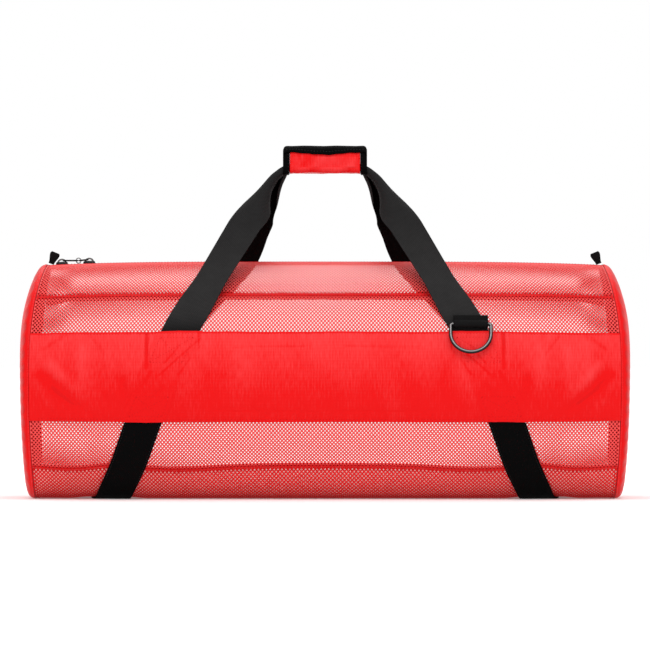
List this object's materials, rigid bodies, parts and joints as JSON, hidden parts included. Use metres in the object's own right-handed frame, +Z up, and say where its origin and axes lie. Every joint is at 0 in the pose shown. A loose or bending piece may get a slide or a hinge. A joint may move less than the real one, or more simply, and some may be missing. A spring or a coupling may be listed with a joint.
{
  "type": "mesh duffel bag",
  "caption": "Barrel-shaped mesh duffel bag with solid end panels, cloth bands, webbing handles joined by a wrapped grip, a top zip and a D-ring.",
  "frame": {"origin": "on the floor under the middle of the bag, on the flat of the net it lies on", "axes": "+X along the barrel towards the end with the D-ring, +Z up to the handle, -Y to the front"},
  "size_m": [0.8696, 0.3644, 0.5028],
  "materials": {
    "red_net": "open knitted polyester net",
    "red_tape": "matt woven seam tape",
    "red_cloth": "coated ripstop cloth with a soft sheen",
    "black_webbing": "woven polypropylene webbing",
    "black_binding": "woven binding tape",
    "red_zip": "woven zip tape and coil",
    "black_metal": "black enamel on steel"
  },
  "bodies": {
    "bag": {"front_net": "red_net", "rear_net": "red_net", "top_net_front": "red_net", "top_net_rear": "red_net", "floor_net": "red_net", "seam_tape_upper_front": "red_tape", "seam_tape_lower_front": "red_tape", "seam_tape_upper_rear": "red_tape", "seam_tape_lower_rear": "red_tape", "end_tape_left": "red_tape", "end_tape_right": "red_tape", "end_panel_left": "red_cloth", "end_panel_right": "red_cloth", "front_band": "red_cloth", "rear_band": "red_cloth", "webbing_front": "black_webbing", "webbing_rear": "black_webbing", "grip_sleeve": "red_cloth", "grip_binding_left": "black_binding", "grip_binding_right": "black_binding", "grip_flap": "black_binding", "zip_tape_front": "red_zip", "zip_tape_rear": "red_zip", "zip_coil": "red_zip", "zip_slider_left": "black_metal", "zip_slider_right": "black_metal", "zip_lock_ring": "black_metal", "zip_pull_left": "black_metal", "zip_pull_right": "black_metal", "zip_tab_left": "black_webbing", "zip_tab_right": "black_webbing", "d_ring_tab": "black_webbing"},
    "ring": {"d_ring": "black_metal"}
  },
  "joints": [
    {"name": "d_ring_swing", "type": "hinge", "parent": "bag", "child": "ring", "pos_m": [0.205, -0.16166, 0.24796], "axis": [-1, 0, 0], "range_deg": [0, 150]}
  ]
}
